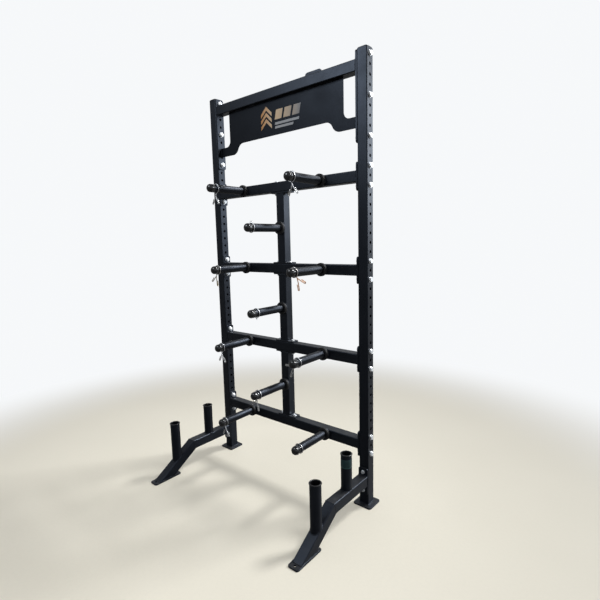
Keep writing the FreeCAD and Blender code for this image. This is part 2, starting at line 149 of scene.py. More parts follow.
def sweep(points, radii, sides=12, closed=False):
    """A round wire of the given radii along points, its section carried without twist."""
    pts = [Vector(p) for p in points]
    n = len(pts)
    tangents = []
    for i in range(n):
        a = pts[i - 1] if closed or i else pts[i]
        b = pts[(i + 1) % n] if closed or i < n - 1 else pts[i]
        tangents.append((b - a).normalized())
    side = tangents[0].orthogonal().normalized()
    verts, faces = [], []
    for i in range(n):
        side = (side - tangents[i] * side.dot(tangents[i])).normalized()
        other = tangents[i].cross(side)
        for k in range(sides):
            a = 2 * math.pi * k / sides
            verts.append(pts[i] + (side * math.cos(a) + other * math.sin(a)) * radii[i])
    for i in range(n if closed else n - 1):
        j = (i + 1) % n
        for k in range(sides):
            m = (k + 1) % sides
            faces.append([i * sides + k, i * sides + m, j * sides + m, j * sides + k])
    if not closed:
        faces.append(list(range(sides)))
        faces.append([(n - 1) * sides + k for k in range(sides)])
    return verts, faces


def joined(rings):
    """Faces between closed rings of equal length, with both ends closed."""
    n = len(rings[0])
    verts = [v for ring in rings for v in ring]
    faces = [list(range(n)), [(len(rings) - 1) * n + k for k in range(n)]]
    for i in range(len(rings) - 1):
        for k in range(n):
            m = (k + 1) % n
            faces.append([i * n + k, i * n + m, (i + 1) * n + m, (i + 1) * n + k])
    return verts, faces


def rounded(w, h, r, n=6):
    """A rounded rectangle w by h round the origin."""
    pts = []
    for cx, cy, a0 in ((1, 1, 0), (-1, 1, 90), (-1, -1, 180), (1, -1, 270)):
        for k in range(n + 1):
            a = math.radians(a0 + 90.0 * k / n)
            pts.append((cx * (w / 2 - r) + r * math.cos(a), cy * (h / 2 - r) + r * math.sin(a)))
    return pts


def along(points, step, closed):
    """The same path with points a step apart."""
    pts = [Vector(p) for p in points]
    if closed:
        pts.append(pts[0])
    total = sum((b - a).length for a, b in zip(pts, pts[1:]))
    count = max(4, round(total / step))
    out, i, walked = [], 0, 0.0
    for k in range(count if closed else count + 1):
        want = total * k / count
        while i < len(pts) - 2 and walked + (pts[i + 1] - pts[i]).length < want:
            walked += (pts[i + 1] - pts[i]).length
            i += 1
        span = (pts[i + 1] - pts[i]).length
        out.append(pts[i].lerp(pts[i + 1], (want - walked) / max(span, 1e-9)))
    return out


def taper(radii, tip, second):
    """Thins the last two points at both ends of a line."""
    for k, f in ((0, tip), (1, second), (-1, tip), (-2, second)):
        radii[k] *= f


# ---- Materials ----
COOL_SHEEN = (0.66, 0.78, 1.0)                # tint of reflections in the black coating
RUBBED_GREY = (0.16, 0.16, 0.165)
DUST_GREY = (0.30, 0.29, 0.27)


class Nodes:
    """A material's node tree, with short calls for the nodes used here."""

    def __init__(self, name):
        self.mat = bpy.data.materials.new(name)
        self.mat.use_nodes = True
        self.tree = self.mat.node_tree
        self.tree.nodes.clear()
        self.out = self.tree.nodes.new("ShaderNodeOutputMaterial")
        self.bsdf = self.tree.nodes.new("ShaderNodeBsdfPrincipled")
        self.tree.links.new(self.bsdf.outputs[0], self.out.inputs["Surface"])
        self.where = self.tree.nodes.new("ShaderNodeTexCoord").outputs["Object"]

    def put(self, socket, value):
        """Links a socket to another, or sets its value; three numbers become a colour."""
        if isinstance(value, bpy.types.NodeSocket):
            self.tree.links.new(value, socket)
        elif isinstance(value, tuple) and len(value) == 3 and socket.type == "RGBA":
            socket.default_value = (*value, 1.0)
        else:
            socket.default_value = value

    def node(self, kind, inputs=None, **props):
        """A new node with its properties and inputs set."""
        n = self.tree.nodes.new(kind)
        for k, v in props.items():
            setattr(n, k, v)
        for k, v in (inputs or {}).items():
            self.put(n.inputs[k], v)
        return n

    def noise(self, scale, detail=2.0, rough=0.5, at=None):
        n = self.node("ShaderNodeTexNoise", {"Vector": at or self.where, "Scale": scale,
                                             "Detail": detail, "Roughness": rough})
        return n.outputs["Fac"]

    def stretched(self, sx, sy, sz):
        """Coordinates scaled unevenly, for marks that run one way."""
        n = self.node("ShaderNodeMapping", {"Vector": self.where, "Scale": (sx, sy, sz)})
        return n.outputs[0]

    def math(self, op, a, b=0.0, clamp=False):
        return self.node("ShaderNodeMath", {0: a, 1: b}, operation=op, use_clamp=clamp).outputs[0]

    def remap(self, x, a, b, c, d):
        """x with its range from a to b laid over c to d."""
        n = self.node("ShaderNodeMapRange", {"Value": x, "From Min": a, "From Max": b,
                                             "To Min": c, "To Max": d})
        return n.outputs["Result"]

    def spread(self, noise, low, high):
        """Noise lies mostly between 0.3 and 0.7: that range is laid over low to high."""
        return self.remap(noise, 0.3, 0.7, low, high)

    def mix(self, f, a, b):
        n = self.node("ShaderNodeMix", data_type="RGBA")
        self.put(n.inputs[0], f)
        self.put(n.inputs[6], a)
        self.put(n.inputs[7], b)
        return n.outputs[2]

    def bump(self, height, distance, strength=1.0, normal=None):
        n = self.node("ShaderNodeBump", {"Height": height, "Distance": distance,
                                         "Strength": strength})
        if normal:
            self.put(n.inputs["Normal"], normal)
        return n.outputs[0]

    def normal_part(self, axis):
        """One part of the surface normal, in world axes."""
        n = self.node("ShaderNodeSeparateXYZ",
                      {0: self.node("ShaderNodeNewGeometry").outputs["Normal"]})
        return n.outputs["XYZ".index(axis)]

    def edge(self, radius):
        """The rounded normal near an edge, and how much it leans there."""
        soft = self.node("ShaderNodeBevel", {"Radius": radius}, samples=4).outputs[0]
        flat = self.node("ShaderNodeNewGeometry").outputs["Normal"]
        dot = self.node("ShaderNodeVectorMath", {0: soft, 1: flat}, operation="DOT_PRODUCT")
        return soft, self.math("SUBTRACT", 1.0, dot.outputs["Value"], True)

    def finish(self, **sockets):
        """Sets the shader's sockets, named with _ for a space, and gives the material."""
        for k, v in sockets.items():
            self.put(self.bsdf.inputs[k.replace("_", " ")], v)
        return self.mat


def powder(name, dark, light, rough, grain=1500.0, depth=0.00003, wear=0.5, ior=0.4):
    """Powder-coated steel: orange peel, broad tone change, rubbed edges, dust on top."""
    m = Nodes(name)
    soft, lean = m.edge(0.0014)
    broad = m.noise(7.0, 4.0, 0.6)
    peel = m.noise(grain, 2.0)
    rubbed = m.remap(m.noise(38.0, 5.0, 0.7), 0.5, 0.72, 0.0, 1.0)
    worn = m.math("MULTIPLY", m.math("MULTIPLY", lean, 5.0, True), rubbed, True)
    worn = m.math("MULTIPLY", worn, wear)
    up = m.remap(m.normal_part("Z"), 0.75, 1.0, 0.0, 1.0)
    dust = m.math("MULTIPLY", up, m.remap(m.noise(24.0, 6.0, 0.65), 0.35, 0.8, 0.02, 0.16))
    colour = m.mix(m.spread(broad, 0.0, 1.0), dark, light)
    colour = m.mix(worn, colour, RUBBED_GREY)
    colour = m.mix(dust, colour, DUST_GREY)
    r = m.spread(broad, rough - 0.05, rough + 0.06)
    r = m.math("ADD", r, m.math("MULTIPLY", dust, 0.9))
    return m.finish(Base_Color=colour, Roughness=r, Specular_IOR_Level=ior,
                    Specular_Tint=COOL_SHEEN, Normal=m.bump(peel, depth, 0.8, soft))


def rubbed_tube(name):
    """Coated peg tube: rings scuffed by plates, and brighter rub marks along the top."""
    m = Nodes(name)
    rings = m.noise(1.0, 6.0, 0.75, m.stretched(18.0, 900.0, 18.0))
    blots = m.noise(26.0, 5.0, 0.7)
    top = m.remap(m.normal_part("Z"), -0.2, 0.95, 0.0, 1.0)
    scuff = m.math("MULTIPLY", m.remap(rings, 0.55, 0.75, 0.0, 1.0),
                   m.remap(blots, 0.42, 0.68, 0.0, 1.0))
    scuff = m.math("MULTIPLY", scuff, m.math("ADD", m.math("MULTIPLY", top, 0.35), 0.05))
    colour = m.mix(scuff, (0.0038, 0.0040, 0.0050), (0.10, 0.10, 0.105))
    rough = m.math("ADD", m.spread(blots, 0.36, 0.44), m.math("MULTIPLY", scuff, 0.2))
    return m.finish(Base_Color=colour, Roughness=rough, Specular_IOR_Level=0.3,
                    Specular_Tint=COOL_SHEEN, Normal=m.bump(rings, 0.000012, 0.5))


def rubber(name):
    """Moulded rubber with a fine grain and a dull haze."""
    m = Nodes(name)
    soft = m.edge(0.0008)[0]
    grain = m.noise(2400.0, 3.0, 0.6)
    haze = m.noise(30.0, 5.0, 0.6)
    colour = m.mix(m.remap(haze, 0.35, 0.75, 0.0, 1.0), (0.010, 0.010, 0.011),
                   (0.020, 0.020, 0.021))
    return m.finish(Base_Color=colour, Roughness=m.spread(haze, 0.62, 0.8),
                    Specular_IOR_Level=0.35, Normal=m.bump(grain, 0.00012, 0.7, soft))


def plastic(name, colour, low, high, grain, depth, coat=0.0, marks=0.2):
    """Moulded plastic: fine scratches in the gloss and a little moulding texture."""
    m = Nodes(name)
    scratch = m.noise(1.0, 7.0, 0.8, m.stretched(60.0, 700.0, 240.0))
    smear = m.noise(45.0, 4.0, 0.6)
    tone = tuple(c * 1.7 for c in colour)
    rough = m.math("ADD", m.remap(smear, 0.3, 0.75, low, high),
                   m.remap(scratch, 0.58, 0.8, 0.0, marks))
    return m.finish(Base_Color=m.mix(m.remap(smear, 0.35, 0.75, 0.0, 1.0), colour, tone),
                    Roughness=rough, Coat_Weight=coat, Coat_Roughness=0.06,
                    Normal=m.bump(m.noise(grain, 2.0), depth, 0.6))


def zinc(name, bright, cool, warm, rough):
    """Zinc-plated steel: spangled brightness with cool and warm passivation tints."""
    m = Nodes(name)
    tint = m.noise(130.0, 3.0, 0.5)
    cell = m.node("ShaderNodeTexVoronoi", {"Vector": m.where, "Scale": 700.0}).outputs["Color"]
    grey = m.node("ShaderNodeRGBToBW", {0: cell}).outputs[0]
    colour = m.mix(m.remap(tint, 0.38, 0.62, 0.0, 1.0), cool, warm)
    colour = m.mix(m.remap(grey, 0.0, 1.0, 0.0, 0.3), colour, bright)
    dirt = m.remap(m.noise(320.0, 5.0, 0.7), 0.6, 0.8, 0.0, 0.4)
    return m.finish(Base_Color=m.mix(dirt, colour, (0.16, 0.15, 0.14)), Metallic=1.0,
                    Roughness=m.spread(tint, rough - 0.06, rough + 0.1),
                    Normal=m.bump(m.noise(1900.0, 3.0), 0.00004, 0.6))


def wire(name, near, far, start, stop):
    """Drawn wire, its colour changing with the distance from the peg's axis."""
    m = Nodes(name)
    flat = m.node("ShaderNodeVectorMath", {0: m.where, 1: (1.0, 0.0, 1.0)},
                  operation="MULTIPLY").outputs[0]
    reach = m.node("ShaderNodeVectorMath", {0: flat}, operation="LENGTH").outputs["Value"]
    blot = m.noise(170.0, 5.0, 0.7)
    reach = m.math("ADD", reach, m.spread(blot, -0.006, 0.006))
    f = m.remap(reach, start, stop, 0.0, 1.0)
    spots = m.remap(m.noise(420.0, 4.0, 0.6), 0.56, 0.74, 0.0, 0.55)
    colour = m.mix(spots, m.mix(f, near, far), tuple(c * 0.35 for c in far))
    return m.finish(Base_Color=colour, Metallic=m.remap(f, 0.0, 1.0, 1.0, 0.75),
                    Roughness=m.spread(blot, 0.2, 0.36),
                    Normal=m.bump(m.noise(1500.0, 3.0), 0.00005, 0.5))


def vinyl(name, left, right, x0, x1):
    """Printed film whose colour runs from left to right, with a faint metallic fleck."""
    m = Nodes(name)
    x = m.node("ShaderNodeSeparateXYZ", {0: m.where}).outputs[0]
    fleck = m.noise(2600.0, 2.0)
    f = m.math("ADD", m.remap(x, x0, x1, 0.0, 1.0), m.spread(fleck, -0.06, 0.06), True)
    return m.finish(Base_Color=m.mix(f, left, right), Roughness=m.spread(fleck, 0.3, 0.5),
                    Metallic=0.15, Normal=m.bump(m.noise(60.0, 3.0), 0.0001, 0.3))


BLACK = powder("powder_black", (0.0022, 0.0026, 0.0040), (0.0040, 0.0045, 0.0063), 0.38)
WELD = powder("powder_weld", (0.0035, 0.0037, 0.0045), (0.0075, 0.0078, 0.0090), 0.34, 900.0, 0.0001)
SIGN = powder("sign_black", (0.0034, 0.0037, 0.0052), (0.0055, 0.0058, 0.0075), 0.42, 1900.0,
              0.00005, 0.35, 0.2)
TUBE = rubbed_tube("peg_steel")
RUBBER = rubber("rubber_black")
GLOSS = plastic("cap_gloss", (0.0024, 0.0026, 0.0034), 0.15, 0.18, 500.0, 0.000002, 0.4, 0.03)
CAP = plastic("cap_plastic", (0.006, 0.006, 0.007), 0.34, 0.46, 1700.0, 0.00006)
LINER = plastic("liner_black", (0.005, 0.005, 0.006), 0.28, 0.38, 1500.0, 0.00004)
ZINC = zinc("zinc_bolt", (0.90, 0.92, 0.95), (0.76, 0.80, 0.85), (0.80, 0.80, 0.77), 0.50)
WIRE = wire("zinc_wire", (0.66, 0.67, 0.69), (0.56, 0.56, 0.55), 0.03, 0.09)
COPPER = wire("clip_copper", (0.64, 0.62, 0.60), (0.66, 0.30, 0.10), 0.030, 0.046)
BRASS = wire("clip_brass", (0.64, 0.64, 0.62), (0.40, 0.33, 0.21), 0.034, 0.056)

# ---- Nodes whose CAD shape stays ----
KEPT = {
    BLACK: ["upright_left", "upright_right", "base_plates", "top_tube", "top_side_plate_left",
            "top_side_plate_right", "rear_tab", "peg_discs", "leg_left", "leg_right",
            "leg_plates", "foot_plates", "holder_left_rear", "holder_left_front",
            "holder_right_rear", "holder_right_front"],
    SIGN: ["sign_plate"],
    TUBE: ["peg_tubes_1", "peg_tubes_2", "peg_tubes_3", "peg_tubes_4", "peg_tubes_middle"],
}
for n in (1, 2, 3, 4):
    KEPT[BLACK] += ["crossmember_%d" % n, "crossmember_%d_plates" % n]
for n in (1, 2, 3):
    KEPT[BLACK] += ["post_%d" % n, "post_%d_flanges" % n]
for mat, names in KEPT.items():
    for name in names:
        for s in NODES[name].material_slots:
            s.material = mat


# ---- Welds ----
WELDS = Shape()
BEAD_STEP = 0.0011                            # between points along a bead
RIPPLE_POINTS = 4
RIPPLE = 0.13                                 # share of the bead's radius
UNEVEN = 0.05
THIN_BEAD, TUBE_BEAD, PLATE_BEAD = 0.0012, 0.0022, 0.0026
HOLDER_BEAD, LEG_BEAD, BASE_BEAD = 0.0028, 0.0032, 0.0034
SECTION = rounded(2 * HALF, 2 * HALF, CORNER)


def weld(points, r=PLATE_BEAD, closed=True):
    """A weld bead with its ripples along a joint."""
    pts = along(points, BEAD_STEP, closed)
    radii = []
    for k in range(len(pts)):
        ripple = RIPPLE * math.cos(2 * math.pi * k / RIPPLE_POINTS)
        radii.append(r * (1 + ripple + random.uniform(-UNEVEN, UNEVEN)))
    if not closed:
        taper(radii, 0.35, 0.75)
    WELDS.add(sweep(pts, radii, 8, closed))


def on_x(x, pts, y, z):
    """A flat outline stood across X, round (y, z)."""
    return [(x, y + a, z + b) for a, b in pts]


def on_z(z, pts, x, y):
    """A flat outline laid level at z, round (x, y)."""
    return [(x + a, y + b, z) for a, b in pts]


def weld_crossmembers():
    for z in CROSS_Z + [mid("top_tube").z]:
        for s in SIDES:
            weld(on_x(s * TUBE_END, SECTION, PLANE, z), TUBE_BEAD)


def weld_posts():
    for n in (1, 2, 3):
        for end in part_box("post_%d" % n):
            weld(on_z(end.z, SECTION, 0, PLANE))


def weld_leg(x):
    """The beads at one upright's base and along its front leg."""
    weld(on_z(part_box("upright_left")[0].z, SECTION, x, PLANE), BASE_BEAD)
    weld([(x + a, LEG_START, LEG_Z + b) for a, b in SECTION], LEG_BEAD)
    # the sloping run is cut level, so it meets the foot plate in a longer section
    run = 2 * HALF / math.sin(SLOPE)
    toe = KNEE.y - (KNEE.z - FOOT_TOP) / math.tan(SLOPE)
    weld(on_z(FOOT_TOP, rounded(2 * HALF, run, CORNER), x, toe + run / 2), LEG_BEAD)
    lean = math.tan(SLOPE / 2)
    weld([(x + a, KNEE.y + (HALF - b) * lean, LEG_Z + b) for a, b in SECTION], THIN_BEAD)


def weld_holder(x, y, points=72):
    """A ring round the foot of a holder, level behind the knee and sloping ahead of it."""
    ring = []
    for k in range(points):
        a = 2 * math.pi * k / points
        at = y + HOLDER_R * math.sin(a)
        drop = max(0.0, (KNEE.y - at) * math.tan(SLOPE))
        ring.append((x + HOLDER_R * math.cos(a), at, KNEE.z - drop))
    weld(ring, HOLDER_BEAD)


def weld_sign(s):
    """Stitches at one end of the sign and along its upper edge, on both faces."""
    lo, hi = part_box("sign_plate")
    clear, upright, level = 0.004, 0.050, 0.045
    for y in (lo.y, hi.y):
        weld([(s * TUBE_END, y, lo.z + clear), (s * TUBE_END, y, lo.z + clear + upright)],
             TUBE_BEAD, False)
        for k in (0.06, 0.2, 0.34):
            weld([(s * k, y, hi.z), (s * (k + level), y, hi.z)], TUBE_BEAD, False)


def weld_disc(x, z, middle):
    """Two arcs round a peg's disc, at its sides or above and below it on a post."""
    steps, degrees = 12, 4.1
    for start in (0, 180):
        arc = []
        for k in range(-steps, steps + 1):
            a = math.radians(start + k * degrees + (90 if middle else 0))
            arc.append((x + DISC_R * math.cos(a), FRONT, z + DISC_R * math.sin(a)))
        weld(arc, PLATE_BEAD, False)


def weld_tab():
    lo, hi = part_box("rear_tab")
    for x in (lo.x, hi.x):
        weld([(x, lo.y, lo.z + 0.004), (x, lo.y, lo.z + 0.055)], PLATE_BEAD, False)


weld_crossmembers()
weld_posts()
for s in SIDES:
    weld_leg(s * UP_X)
    for node in ("rear", "front"):
        weld_holder(s * UP_X, mid("holder_right_" + node).y)
    weld_sign(s)
for x, z in PEGS:
    weld_disc(x, z, x == 0.0)
weld_tab()
make("welds", WELDS, WELD, sharp=80.0)


# ---- Plastic, rubber and gloss parts ----
def turned(shape, profile, x, z, n=56):
    """A lathe profile of (radius, distance ahead of the peg's root) on a peg's axis."""
    place = Matrix.Translation((x, PEG_ROOT, z)) @ Matrix.Rotation(math.radians(90), 4, "X")
    shape.add(lathe(profile, n), place)


def quarter(cx, cz, r, a0, a1, n=6):
    """Points round part of a circle, from a0 to a1 degrees."""
    pts = []
    for k in range(n + 1):
        a = math.radians(a0 + (a1 - a0) * k / n)
        pts.append((cx + r * math.cos(a), cz + r * math.sin(a)))
    return pts


def collar_profile():
    """A rubber collar with a groove in its rim and another in its front face."""
    rim, thick, bevel, groove = 0.039, 0.014, 0.0035, 0.0006
    pts = [(PEG_R, 0.0), (rim - 0.0008, 0.0), (rim, 0.0008)]
    pts += [(rim, 0.0045), (rim - groove, 0.0050), (rim - groove, 0.0056), (rim, 0.0061)]
    pts += quarter(rim - bevel, thick - bevel, bevel, 0, 90)
    pts += [(0.0330, thick), (0.0324, thick - 0.0007), (0.0316, thick - 0.0007), (0.0310, thick)]
    pts += [(PEG_R + 0.0016, thick), (PEG_R + 0.0003, thick - 0.0012), (PEG_R, thick - 0.002)]
    return pts + [(PEG_R, 0.0)]


def cap_profile():
    """A glossy end cap: a plug inside the tube, a fine groove and a flattened dome."""
    reach = PEG_ROOT - PEG_END
    tip = PEG_ROOT - PEG_TIP
    plug = PEG_R - 0.0034
    dome, groove, steps = 0.020, 0.0003, 18
    pts = [(0.0, reach - 0.006), (plug, reach - 0.006), (plug, reach), (CAP_R - 0.0009, reach),
           (CAP_R, reach + 0.0009), (CAP_R, reach + 0.0045), (CAP_R - groove, reach + 0.0049),
           (CAP_R - groove, reach + 0.0055), (CAP_R, reach + 0.0059)]
    for k in range(1, steps + 1):
        a = math.radians(90.0 * k / steps)
        r = CAP_R * math.cos(a) ** 0.82 if k < steps else 0.0
        pts.append((r, tip - dome + dome * math.sin(a) ** 0.95))
    return pts


collars, caps = Shape(), Shape()
for x, z in PEGS:
    turned(collars, collar_profile(), x, z)
    turned(caps, cap_profile(), x, z)
make("collars", collars, RUBBER, sharp=50.0, stands_for=["peg_collars"])
make("end_caps", caps, GLOSS, sharp=60.0, stands_for=["peg_caps"])


def top_cap(x):
    """A square cap on an upright, its top rounded over towards a flat middle."""
    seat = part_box("upright_left")[1].z
    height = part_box("upright_caps")[1].z - seat
    rings = []
    for inset, share in ((0.0, 0.0), (0.0, 0.30), (0.0004, 0.48), (0.0014, 0.66), (0.0030, 0.81),
                         (0.0055, 0.91), (0.0095, 0.965), (0.0160, 0.99), (0.0240, 1.0)):
        w = 2 * (HALF - inset)
        corner = max(0.0055, 0.012 - inset * 0.2) if inset < 0.02 else 0.0055
        rings.append(on_z(seat + height * share, rounded(w, w, corner), x, PLANE))
    return joined(rings)


top_caps = Shape()
for s in SIDES:
    top_caps.add(top_cap(s * UP_X))
make("top_caps", top_caps, CAP, sharp=60.0, stands_for=["upright_caps"])


def liner_profile(top):
    """A plastic liner in a holder whose steel ends at top, with a rolled lip over its edge."""
    bore, lip, down = 0.0255, 0.033, 0.030
    pipe = HOLDER_R - HOLDER_WALL
    pts = [(bore, top - down), (pipe, top - down), (pipe, top + 0.0001),
           (lip - 0.0006, top + 0.0001), (lip, top + 0.0007)]
    pts += quarter(lip - 0.0015, top + 0.0024, 0.0015, 0, 90, 5)
    pts += quarter(bore + 0.0020, top + 0.0019, 0.0020, 90, 180, 5)
    return pts + [(bore, top - 0.006), (bore, top - down)]


liners = Shape()
for s in SIDES:
    for node in ("rear", "front"):
        holder = "holder_right_" + node
        place = Matrix.Translation((s * UP_X, mid(holder).y, 0))
        liners.add(lathe(liner_profile(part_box(holder)[1].z), 64), place)
make("holder_liners_lipped", liners, LINER, sharp=60.0,
     stands_for=["holder_liners"])


# ---- Fasteners ----
def hexagon(flats, height, both_ends=False, washer_face=True, n=60):
    """A hexagon head or nut on Z = 0 with its corners turned off by a 30 degree cone."""
    inner = flats * 0.47
    corner = flats / math.sqrt(3)
    drop = (corner - inner) * math.tan(math.radians(30))
    levels = [0.0]
    if both_ends:
        levels += [drop * f for f in (0.15, 0.4, 0.7, 1.0)]
    levels += [height - drop * f for f in (1.0, 0.7, 0.4, 0.15, 0.0)]
    rings = []
    for z in levels:
        ring = []
        for k in range(n):
            a = 2 * math.pi * k / n
            side = flats / 2 / math.cos((a + math.pi / 6) % (math.pi / 3) - math.pi / 6)
            cone = inner + (height - z) / math.tan(math.radians(30))
            if both_ends:
                cone = min(cone, inner + z / math.tan(math.radians(30)))
            r = min(side, cone)
            ring.append((r * math.cos(a), r * math.sin(a), z))
        rings.append(ring)
    if washer_face:
        r = inner * 0.985
        rings.append([(r * math.cos(2 * math.pi * k / n), r * math.sin(2 * math.pi * k / n),
                       height - 0.0002) for k in range(n)])
    return joined(rings)


def thread(d, start, end):
    """A threaded tail from start to end, with a chamfered tip."""
    pitch = d / 8
    root = d / 2 - pitch * 0.55
    prof = [(0.0, start), (root, start)]
    z = start
    while z < end - pitch * 1.6:
        prof += [(root, z + pitch * 0.08), (d / 2, z + pitch * 0.45), (d / 2, z + pitch * 0.6)]
        z += pitch
    prof += [(d / 2 - pitch * 0.5, z + pitch * 0.1), (d / 2 - pitch * 0.5, end - pitch * 0.5),
             (d / 2 - pitch * 1.1, end), (0.0, end)]
    return lathe(prof, 32)


def washer(d, t):
    """A flat washer for a bolt of diameter d, lying on Z = 0."""
    hole, out = d / 2 + 0.0006, d * 0.94
    return lathe([(hole, 0), (out - 0.0003, 0), (out, 0.0003), (out, t - 0.0004),
                  (out - 0.0004, t), (hole, t), (hole, 0)], 40)


def frame_on(seat, direction):
    """Places +Z along direction at seat, turned by a random angle as a spanner leaves it."""
    turn = Matrix.Rotation(random.uniform(0, math.pi), 4, "Z")
    return Matrix.Translation(seat) @ direction.to_track_quat("Z", "Y").to_matrix().to_4x4() @ turn


# nominal diameter, width over flats, head height, nut height, length past the grip
M16 = (0.016, 0.024, 0.010, 0.013, 0.017)
M12 = (0.012, 0.018, 0.0075, 0.010, 0.014)
END_PLATE = 0.010                             # thicknesses that the bolts pass through
FLANGE = 0.008
TUBE = 2 * HALF
PLATE_BOLT = 0.050                            # bolt centres from a crossmember's axis
TOP_BOLT = 0.200                              # and from the middle of a top end plate
LEG_BOLT = 0.055                              # and from the middle of a leg's end plate
POST_BOLT = 0.050                             # and from a post's axis


def bolt(heads, nuts, size, seat, along_shank, grip):
    """A bolt, its two washers and its nut, with the head on seat and the nut past the grip."""
    d, flats, head, nut, tail = size
    t = d / 8
    out = frame_on(seat, -along_shank)
    heads.add(washer(d, t), out)
    heads.add(hexagon(flats, head - t), out @ Matrix.Translation((0, 0, t)))
    end = frame_on(seat + along_shank * grip, along_shank)
    nuts.add(washer(d, t), end)
    nuts.add(hexagon(flats, nut - t, True, False), end @ Matrix.Translation((0, 0, t)))
    heads.add(thread(d, 0.0, tail), end)


def bolt_group(group, node_end, places):
    """All bolts and nuts of one group, which stand for the two CAD nodes with that ending."""
    heads, nuts = Shape(), Shape()
    for place in places:
        bolt(heads, nuts, *place)
    for kind, shape in (("bolts", heads), ("nuts", nuts)):
        make(kind + "_" + group, shape, ZINC, sharp=28.0,
             stands_for=[kind + "_" + node_end])


top = mid("top_side_plate_left").z
levels = [top + TOP_BOLT, top, top - TOP_BOLT]
for z in CROSS_Z:
    levels += [z - PLATE_BOLT, z + PLATE_BOLT]
bolt_group("frame", "m16", [(M16, Vector((s * (UP_X + HALF), PLANE, z)), Vector((-s, 0, 0)),
                             TUBE + END_PLATE) for s in SIDES for z in levels])
bolt_group("legs", "m12_legs", [(M12, Vector((s * UP_X, LEG_START, LEG_PLATE_Z + dz)),
                                 Vector((0, 1, 0)), TUBE + FLANGE)
                                for s in SIDES for dz in (-LEG_BOLT, LEG_BOLT)])
post_bolts = []
for n, z in enumerate(CROSS_Z):
    above = FLANGE if n > 0 else 0.0          # no post stands above the first crossmember
    below = FLANGE if n < 3 else 0.0          # and none hangs below the last one
    for x in (-POST_BOLT, POST_BOLT):
        post_bolts.append((M12, Vector((x, PLANE, z + HALF + above)), Vector((0, 0, -1)),
                           TUBE + above + below))
bolt_group("posts", "m12_posts", post_bolts)


# ---- Wire clips ----
WIRE_R = 0.0025
RING_R = CAP_R + 0.00005 + WIRE_R
OPEN = math.radians(10.0)                     # from the ring's bottom to where a leg begins
LEAN = math.radians(63.0)                     # a straight leg, measured from level
BEND_R = 0.007
CROSS = 0.0031                                # how far the legs pass beside each other
SPLAY = 0.007                                 # and how far apart their tips stand
SAG = 0.0016
LOOP_R = 0.0042
LOOP_BACK = 0.030                             # length of wire doubled back at a tip
LOOP_BOW = 0.0011
LONG_LEG, SHORT_LEG = 0.068, 0.009


def doubled_back(tip, d, s):
    """The half turn at a leg's tip, and the wire that runs back beside the leg."""
    out = Vector((d.z * s, 0, -d.x * s)).normalized()
    line = []
    for k in range(1, 13):
        t = math.pi * k / 12
        line.append(tip + out * (LOOP_R * (1 - math.cos(t))) + d * (LOOP_R * math.sin(t)))
    far = line[-1].copy()
    for k in range(1, 9):
        line.append(far - d * (LOOP_BACK * k / 8) - out * (LOOP_BOW * math.sin(math.pi * k / 8)))
    return line


def clip_line(leg, loop):
    """Centreline of a clip hanging straight down, round the Y axis, from tip to tip."""
    half_lines = []
    for s in (1, -1):
        near = Vector((s * RING_R * math.sin(OPEN), 0, -RING_R * math.cos(OPEN)))
        line = []
        for k in range(1, 11):
            a = OPEN + (LEAN - OPEN) * k / 10
            line.append(near + Vector((-s * BEND_R * (math.sin(a) - math.sin(OPEN)),
                                       s * CROSS * math.sin(math.pi / 2 * k / 10),
                                       BEND_R * (math.cos(a) - math.cos(OPEN)))))
        knee = line[-1]
        tip = knee + Vector((-s * leg * math.cos(LEAN), 0, -leg * math.sin(LEAN)))
        tip.y = s * SPLAY if loop else knee.y
        for k in range(1, 13):
            t = k / 12
            sag = math.sin(math.pi * t) * (SAG if loop else 0.0)
            line.append(knee.lerp(tip, t) + Vector((s * sag, 0, 0)))
        if loop:
            line += doubled_back(tip, (tip - knee).normalized(), s)
        half_lines.append(line)
    ring = []
    for k in range(73):
        a = OPEN + (2 * math.pi - 2 * OPEN) * k / 72
        ring.append(Vector((RING_R * math.sin(a), 0, -RING_R * math.cos(a))))
    return half_lines[0][::-1] + ring + half_lines[1]


# name, degrees turned round the peg, whether it has long legs; in the order of PEGS
CLIPS = (
    ("clip_1_left", -3, True), ("clip_1_right", 6, True), ("clip_2_left", -20, True),
    ("clip_2_right", 37, True), ("clip_3_left", 0, True), ("clip_3_right", -50, True),
    ("clip_4_left", 3, True), ("clip_4_right", -12, False), ("clip_middle_1", 176, False),
    ("clip_middle_2", 4, False), ("clip_middle_3", -18, True),
)
COLOURED = {"clip_2_right": COPPER, "clip_2_left": BRASS}
for (name, turn, full), (x, z) in zip(CLIPS, PEGS):
    line = clip_line(LONG_LEG if full else SHORT_LEG, full)
    radii = [WIRE_R] * len(line)
    taper(radii, 0.45, 0.9)
    at = Vector((x, mid(name).y, z))
    shape = Shape()
    shape.add(sweep(line, radii, 14),
              Matrix.Translation(at) @ Matrix.Rotation(math.radians(-turn), 4, "Y"))
    make(name + "_wire", shape, COLOURED.get(name, WIRE), name + "_body", 60.0,
         at, [name])


# ---- Generic mark on the sign: three chevrons beside slanted blocks ----
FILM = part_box("sign_plate")[0].y - 0.0004
MARK_Z = 2.262


def decal(shape, outline, thick=0.0004):
    """A thin film on the sign's front, with (x, z) points round its edge."""
    n = len(outline)
    verts = [(x, FILM, z) for x, z in outline] + [(x, FILM + thick, z) for x, z in outline]
    faces = [list(range(n)), list(range(n, 2 * n))]
    for k in range(n):
        m = (k + 1) % n
        faces.append([k, m, n + m, n + k])
    shape.add((verts, faces))


def chevron(x, low, half_width=0.045, rise=0.042, band=0.022):
    """An upward chevron with the tips of its lower edge at low."""
    return [(x - half_width, low), (x, low + rise), (x + half_width, low),
            (x + half_width, low + band), (x, low + rise + band), (x - half_width, low + band)]


